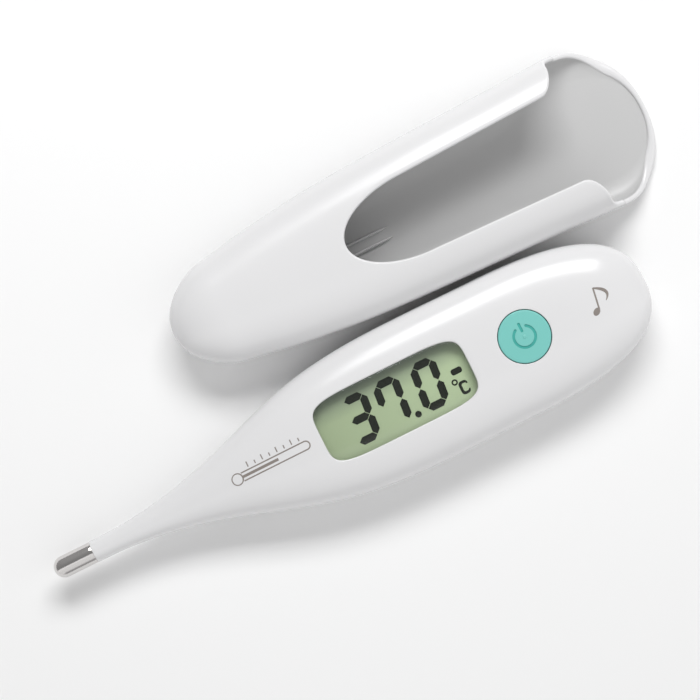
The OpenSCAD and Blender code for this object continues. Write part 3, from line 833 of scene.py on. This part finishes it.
ENGRAVE_Z = CROWN_Z - 0.2
SYMBOL_BAR = (0, 1.95, SYMBOL_STROKE, 2.0, 0.24)
for outline in (arc_outline(), rounded_rectangle(*SYMBOL_BAR)):
    moved = [(x + BUTTON_X, y) for x, y in outline]
    combine(button, flat_solid(moved, ENGRAVE_Z, 14), "DIFFERENCE")
for polygon in button.data.polygons:
    centre = polygon.center / MM
    near_sign = math.hypot(centre.x - BUTTON_X, centre.y) < 3.2
    if near_sign and 12.5 < centre.z < CROWN_Z - 0.06:
        polygon.material_index = 1
# A fine bead stands in the middle of the sign.
turn = np.linspace(0, math.pi / 2, 8)
bead = [(crown(0) - 0.05, 0)] + [(crown(0) + 0.12 * math.sin(t), 0.42 * math.cos(t)) for t in turn]
join(button, [lathe("bead", bead, (BUTTON_X, 0, 0), "Z", None, 32)])
smooth(button, 30)
place(button, "button", "mint_plastic", "power_button")

# ---- prints ----

PRINT_LIFT = 0.012
PRINT_SINK = 0.04


def ribbon(path, widths, closed=False):
    """A thin print along a path of (x, y), laid on the front cover's outside."""
    path = np.asarray(path, float)
    widths = np.broadcast_to(np.asarray(widths, float), len(path))
    if closed:
        step = np.roll(path, -1, axis=0) - np.roll(path, 1, axis=0)
    else:
        step = np.gradient(path, axis=0)
    side = np.c_[-step[:, 1], step[:, 0]]
    side /= np.linalg.norm(side, axis=1)[:, None]
    left = path + side * widths[:, None] / 2
    right = path - side * widths[:, None] / 2
    corners = [(left, PRINT_LIFT), (right, PRINT_LIFT), (right, -PRINT_SINK), (left, -PRINT_SINK)]
    points = np.array([np.c_[p, top_z(p[:, 0], p[:, 1]) + lift] for p, lift in corners])
    points = points.transpose(1, 0, 2)
    count = len(path)
    faces = grid_faces(count, 4, closed=True)
    last = (count - 1) * 4
    if closed:
        faces += [[last + k, last + (k + 1) % 4, (k + 1) % 4, k] for k in range(4)]
    else:
        faces += [[3, 2, 1, 0], [last, last + 1, last + 2, last + 3]]
    return clean(mesh_object("ribbon", points.reshape(-1, 3), faces), 0.00001)


def line_path(x0, y0, x1, y1, step=0.35):
    count = max(3, int(math.hypot(x1 - x0, y1 - y0) / step) + 1)
    t = np.linspace(0, 1, count)
    return np.c_[x0 + (x1 - x0) * t, y0 + (y1 - y0) * t]


def oval(x, y, a, b, tilt=0.0, count=17):
    """A filled oval as a ribbon along its long axis."""
    t = np.cos(np.linspace(math.pi, 0, count))
    path = np.c_[x + a * t * math.cos(tilt), y + a * t * math.sin(tilt)]
    return ribbon(path, np.maximum(2 * b * np.sqrt(1 - t**2), 0.01))


NOTE_HEAD = (43.15, -1.95, 0.86, 0.62, math.radians(35))
NOTE_STEM = (43.82, -1.7, 44.55, 2.6)
NOTE_BENDS = ((44.5, 2.55), (47.9, 0.95), (45.85, -0.7))
note = [oval(*NOTE_HEAD), ribbon(line_path(*NOTE_STEM), 0.34)]
t = np.linspace(0, 1, 20)
bent = [(1 - t) ** 2 * a + 2 * t * (1 - t) * b + t**2 * c for a, b, c in zip(*NOTE_BENDS)]
flag_width = 0.16 + 0.5 * np.sin(math.pi * np.clip(0.12 + 0.88 * t, 0, 1)) ** 1.2
note.append(ribbon(np.array(bent).T, flag_width))
note_mark = join(mesh_object("sound_mark", [], [], FINISH["ink"]), note)
place(note_mark, "thermometer", "display_ink")

# A bulb with its column, the tube round them, and a row of long and short ticks above.
BULB_X = -34.6
BULB_R = 1.25
TUBE_X0 = -33.5
TUBE_X1 = -19.8
TUBE_HALF = 0.85
TICKS = 8
TICK_X = -31.6
TICK_PITCH = 1.6
TICK_Y = 1.35
sign = [oval(BULB_X, 0, BULB_R, BULB_R, 0.0, 21), ribbon(line_path(-33.6, 0, -25.6, 0), 0.55)]
turn = np.linspace(-math.pi / 2, math.pi / 2, 13)
tube_end = np.c_[TUBE_X1 + 0.2 + TUBE_HALF * np.cos(turn), TUBE_HALF * np.sin(turn)]
tube = np.concatenate([
    line_path(TUBE_X0, -TUBE_HALF, TUBE_X1, -TUBE_HALF),
    tube_end,
    line_path(TUBE_X1, TUBE_HALF, TUBE_X0, TUBE_HALF),
])
sign.append(ribbon(tube, 0.26))
for k in range(TICKS):
    length = 1.1 if k % 2 == 0 else 0.7
    x = TICK_X + TICK_PITCH * k
    sign.append(ribbon(line_path(x, TICK_Y, x, TICK_Y + length), 0.24))
sign_mark = join(mesh_object("thermometer_mark", [], [], FINISH["ink"]), sign)
place(sign_mark, "thermometer", "display_ink")

# ---- storage case ----

CASE_LENGTH = 105
CASE_WALL = 1.0
CASE_HALF = 7.85
CASE_END_X = 71.5
CASE_Y = 31.3
CASE_SINK = 0.15
CLOSED_ROUND = 11
MOUTH_C = 92.5
OPEN_C = 38
OPEN_ROUND = 16
OPEN_HALF = 8.4
OPEN_FLARE = 0.035
STEP_C0, STEP_C1 = 85.5, 92.5
SPOON_C0, SPOON_C1 = 88, 101
SPOON_Z0, SPOON_Z1 = 7, 1.15
MOUTH_POWER = 2.15
MOUTH_BOTTOM_POWER = 6
CLOSED_POWER = 2.2
POWER_RUN = 60
FLAT_C0 = 70
FLAT_RUN = 25
CASE_PLAN = [
    [0, 9.6], [13, 11.2], [21, 12.6], [29, 13.6], [37, 14.4], [45, 14.9], [61, 15.5],
    [77, 15.96], [92.5, 16.5],
]
CASE_TOP = [[0, 6.2], [30, 6.6], [60, 7.65], [75, 7.85]]
# Rows of points along the case, from its closed end to its mouth.
ROUND_ROWS = 26
STRAIGHT_ROWS = 26
START_ROWS = 20
SIDE_ROWS = 50
STEP_ROWS = 44
MOUTH_ROWS = 40
AROUND = 112
RIM_STEPS = 8
RIM_BULGE = 0.42
RIB_C = 28
RIB_HALF_LENGTH = 20
RIB_HALF_WIDTH = 0.3
RIB_Y = 1.15


def smoothstep(t):
    u = np.clip(t, 0, 1)
    return u * u * (3 - 2 * u)


def s_curve(t):
    """Rises from 0 to 1 as two quarter circles that meet upright in the middle."""
    t = min(1.0, max(0.0, t))
    if t < 0.5:
        return (1 - math.sqrt(1 - 4 * t * t)) / 2
    return (1 + math.sqrt(1 - 4 * (1 - t) ** 2)) / 2


def case_stations(inset):
    """Stations closest together where the outline turns: both ends, the opening and the step."""
    def run(count):
        return np.arange(1, count + 1) / count

    step = run(STEP_ROWS)
    step = np.where(step <= 0.5, np.sin(math.pi * step) / 2, 1 - np.sin(math.pi * (1 - step)) / 2)
    mouth = CASE_LENGTH - inset - MOUTH_C
    return np.concatenate([
        inset + (CLOSED_ROUND - inset) * (1 - np.cos(run(ROUND_ROWS) * math.pi / 2)),
        CLOSED_ROUND + (OPEN_C - CLOSED_ROUND) * run(STRAIGHT_ROWS),
        OPEN_C + 8 * run(START_ROWS) ** 2,
        OPEN_C + 8 + (STEP_C0 - OPEN_C - 8) * run(SIDE_ROWS),
        STEP_C0 + (STEP_C1 - STEP_C0) * step,
        MOUTH_C + mouth * np.sin(run(MOUTH_ROWS) * math.pi / 2),
    ])


def closed_factor(c, inset):
    """How far the cross-section has grown from the closed end's tip, as a share."""
    if c >= CLOSED_ROUND:
        return 1.0
    return math.sqrt(max(0, 1 - ((CLOSED_ROUND - c) / (CLOSED_ROUND - inset)) ** 2))


def opening_half(c):
    """Half the width of the opening in the case's top."""
    d = c - OPEN_C
    if d <= 0:
        return 0.0
    if d < OPEN_ROUND:
        return OPEN_HALF * math.sqrt(1 - (1 - d / OPEN_ROUND) ** 2)
    return OPEN_HALF + OPEN_FLARE * (d - OPEN_ROUND)


def case_row(c, inset):
    """A cross-section from one edge of the opening round under the floor to the other."""
    f = closed_factor(c, inset)
    w = float((along(CASE_PLAN, c) - inset) * f)
    w *= float(rounding(c, MOUTH_C, CASE_LENGTH - MOUTH_C - inset, MOUTH_POWER))
    h_top = float((along(CASE_TOP, c) - inset) * f)
    h_bottom = (CASE_HALF + CASE_SINK - inset) * f
    share = min(1, c / POWER_RUN)
    top_power = CLOSED_POWER + (TOP_POWER - CLOSED_POWER) * share
    bottom_power = CLOSED_POWER + (BOTTOM_POWER - CLOSED_POWER) * share
    flatter = float(smoothstep((c - FLAT_C0) / FLAT_RUN))
    bottom_power += (MOUTH_BOTTOM_POWER - BOTTOM_POWER) * flatter
    start = 90.0
    if c > OPEN_C:
        reach = min(1, opening_half(c) / max(w, 0.01))
        upper = 90 + math.degrees(math.asin(reach ** (top_power / 2)))
        spoon = SPOON_Z0 + (SPOON_Z1 - SPOON_Z0) * float(
            smoothstep((c - SPOON_C0) / (SPOON_C1 - SPOON_C0)))
        drop = min(1, (CASE_HALF - spoon) / max(h_bottom, 0.01))
        lower = 180 + math.degrees(math.asin(drop ** (bottom_power / 2)))
        start = upper + (lower - upper) * s_curve((c - STEP_C0) / (STEP_C1 - STEP_C0))
    turn = fine_turn(start, 540 - start)
    cosine, sine = np.cos(turn), np.sin(turn)
    power = np.where(sine > 0, top_power, bottom_power)
    height = np.where(sine > 0, h_top, h_bottom)
    y = CASE_Y + w * np.sign(cosine) * np.abs(cosine) ** (2 / power)
    z = CASE_HALF + height * np.sign(sine) * np.abs(sine) ** (2 / power)
    y, z = even_steps(y, np.maximum(z, inset), np.linspace(0, 1, AROUND + 1))
    return np.c_[np.full(len(y), CASE_END_X - CASE_LENGTH + c), y, z]


def rim_strip(outer, inner, inside):
    """The rounded edge between matching loops; inside is a loop within the wall beside them."""
    along_rim = np.roll(outer, -1, axis=0) - np.roll(outer, 1, axis=0)
    across = outer - inner
    half = np.linalg.norm(across, axis=1)[:, None] / 2
    across = across / (2 * half)
    away = np.cross(along_rim, across)
    away /= np.linalg.norm(away, axis=1)[:, None]
    away *= np.sign(((outer - inside) * away).sum())
    middle = (outer + inner) / 2
    rings = []
    for k in range(RIM_STEPS + 1):
        turn = math.pi * k / RIM_STEPS
        rings.append(middle + across * half * math.cos(turn) + away * RIM_BULGE * math.sin(turn))
    return np.array(rings)


outer = np.array([case_row(c, 0.0) for c in case_stations(0.0)])
inner = np.array([case_row(c, CASE_WALL) for c in case_stations(CASE_WALL)])
rows, columns = outer.shape[:2]
size = rows * columns
first_open = ROUND_ROWS + STRAIGHT_ROWS - 1
end_x = CASE_END_X - CASE_LENGTH
ends = np.array([[end_x, CASE_Y, CASE_HALF], [end_x + CASE_WALL, CASE_Y, CASE_HALF]])
there = [(i, 0) for i in range(first_open, rows)]
back = [(i, columns - 1) for i in range(rows - 2, first_open, -1)]
beside = [(i, 2) for i in range(first_open, rows)]
beside += [(i, columns - 3) for i in range(rows - 2, first_open, -1)]
pick = np.array(there + back).T
pick_beside = np.array(beside).T
strip = rim_strip(outer[pick[0], pick[1]], inner[pick[0], pick[1]],
                  outer[pick_beside[0], pick_beside[1]])
points = np.concatenate([outer.reshape(-1, 3), inner.reshape(-1, 3), ends, strip.reshape(-1, 3)])
faces = grid_faces(rows, columns) + grid_faces(rows, columns, size)
for j in range(columns - 1):
    faces.append([2 * size, j, j + 1])
    faces.append([2 * size + 1, size + j, size + j + 1])
faces += grid_faces(RIM_STEPS + 1, strip.shape[1], 2 * size + 2, closed=True)
case = mesh_object("storage_case_skin", points, faces, FINISH["case"])
# The inside faces take the darker copy of the plastic, as painted shade.
case.data.materials.append(FINISH["case_inside_painted_shade"])
for polygon in case.data.polygons:
    if all(size <= k < 2 * size or k == 2 * size + 1 for k in polygon.vertices):
        polygon.material_index = 1
clean(case, 0.002)


def case_rib(y):
    """A low round-topped rib on the case's floor."""
    rings = []
    for t in np.linspace(-1, 1, 41):
        fall = (1 - abs(t) ** 12) ** 0.5
        turn = np.linspace(0, math.pi, 9)
        across = RIB_HALF_WIDTH * max(fall, 0.05) * np.cos(turn)
        up = CASE_WALL - 0.15 + (0.35 + 0.9 * fall) * np.sin(turn) ** 0.7
        x = end_x + RIB_C + RIB_HALF_LENGTH * t
        rings.append(np.c_[np.full(9, x), y + across, up])
    return loft("rib", rings)


join(case, [case_rib(CASE_Y - RIB_Y), case_rib(CASE_Y + RIB_Y)])
smooth(case, 40)
place(case, "case", "case_plastic", "storage_case")

# ---- studio ----

FLOOR_HALF = 1.5
FLOOR_DROP = 0.00003
quarters = ((-1, -1), (1, -1), (1, 1), (-1, 1))
floor_corners = [(FLOOR_HALF * a, FLOOR_HALF * b, 0) for a, b in quarters]
floor_mesh = bpy.data.meshes.new("studio_floor")
floor_mesh.from_pydata(floor_corners, [], [(0, 1, 2, 3)])
floor = bpy.data.objects.new("studio_floor", floor_mesh)
bpy.context.scene.collection.objects.link(floor)
floor.location.z = -FLOOR_DROP
floor_mesh.materials.append(surface("studio_floor", grey(0.93), 0.8, mottle=0.002, scale=8.0))

world = bpy.data.worlds.new("studio")
bpy.context.scene.world = world
world.use_nodes = True
tree = world.node_tree
sky = tree.nodes["Background"]
place_node = tree.nodes.new("ShaderNodeTexCoord")
parts = tree.nodes.new("ShaderNodeSeparateXYZ")
tree.links.new(place_node.outputs["Generated"], parts.inputs["Vector"])
ramp = tree.nodes.new("ShaderNodeValToRGB")
tree.links.new(spread(tree, parts.outputs["Y"], 0, 1, -1, 1), ramp.inputs["Fac"])
# Brightness of the room from one side to the other, so that the gloss shows soft bands.
BRIGHTEST = 1.5
BANDS = [(-1.0, 0.3), (-0.94, 0.35), (-0.86, 0.72), (-0.4, 0.76), (-0.16, 0.95), (-0.1, 0.2),
         (0.3, 0.12), (0.4, 1.4), (0.8, 1.4), (0.92, 0.8), (1.0, 0.3)]
elements = ramp.color_ramp.elements
while len(elements) > 1:
    elements.remove(elements[0])
for index, (side, brightness) in enumerate(BANDS):
    element = elements[0] if index == 0 else elements.new(0.5)
    element.position = (side + 1) / 2
    element.color = (*grey(brightness / BRIGHTEST), 1)
tree.links.new(ramp.outputs["Color"], sky.inputs["Color"])
sky.inputs["Strength"].default_value = 1.74

LIGHT_FROM = Vector((0.446, 0.895, 0))


def area_light(name, across, elevation, distance, width, height, energy):
    """A soft box over the case's side; across swings it round the object in degrees."""
    light = bpy.data.lights.new(name, "AREA")
    light.shape = "RECTANGLE"
    light.size, light.size_y = width, height
    light.energy = energy
    lamp = bpy.data.objects.new(name, light)
    bpy.context.scene.collection.objects.link(lamp)
    flat = Matrix.Rotation(math.radians(across), 3, "Z") @ LIGHT_FROM
    rise = math.radians(elevation)
    lamp.location = (flat * math.cos(rise) + Vector((0, 0, math.sin(rise)))) * distance
    lamp.rotation_euler = (-lamp.location).to_track_quat("-Z", "Y").to_euler()


area_light("key", 0, 48, 0.7, 0.5, 0.22, 3.4)

TARGET = Vector((-3.501, 13.234, 6.6)) * MM
ELEVATION = math.radians(87)
ROLL = math.radians(-26.46)
DISTANCE = 0.502291
look = Vector((0, math.cos(ELEVATION), -math.sin(ELEVATION)))
sideways = Vector((1, 0, 0))
upright = sideways.cross(look)
right = sideways * math.cos(ROLL) + upright * math.sin(ROLL)
up = -sideways * math.sin(ROLL) + upright * math.cos(ROLL)
camera_data = bpy.data.cameras.new("camera")
camera_data.lens = 130
camera_data.sensor_width = 36
camera_data.clip_start = 0.01
camera = bpy.data.objects.new("camera", camera_data)
bpy.context.scene.collection.objects.link(camera)
turned = Matrix((right, up, -look)).transposed().to_4x4()
camera.matrix_world = Matrix.Translation(TARGET - look * DISTANCE) @ turned
bpy.context.scene.camera = camera
bpy.context.scene.view_settings.view_transform = "Standard"
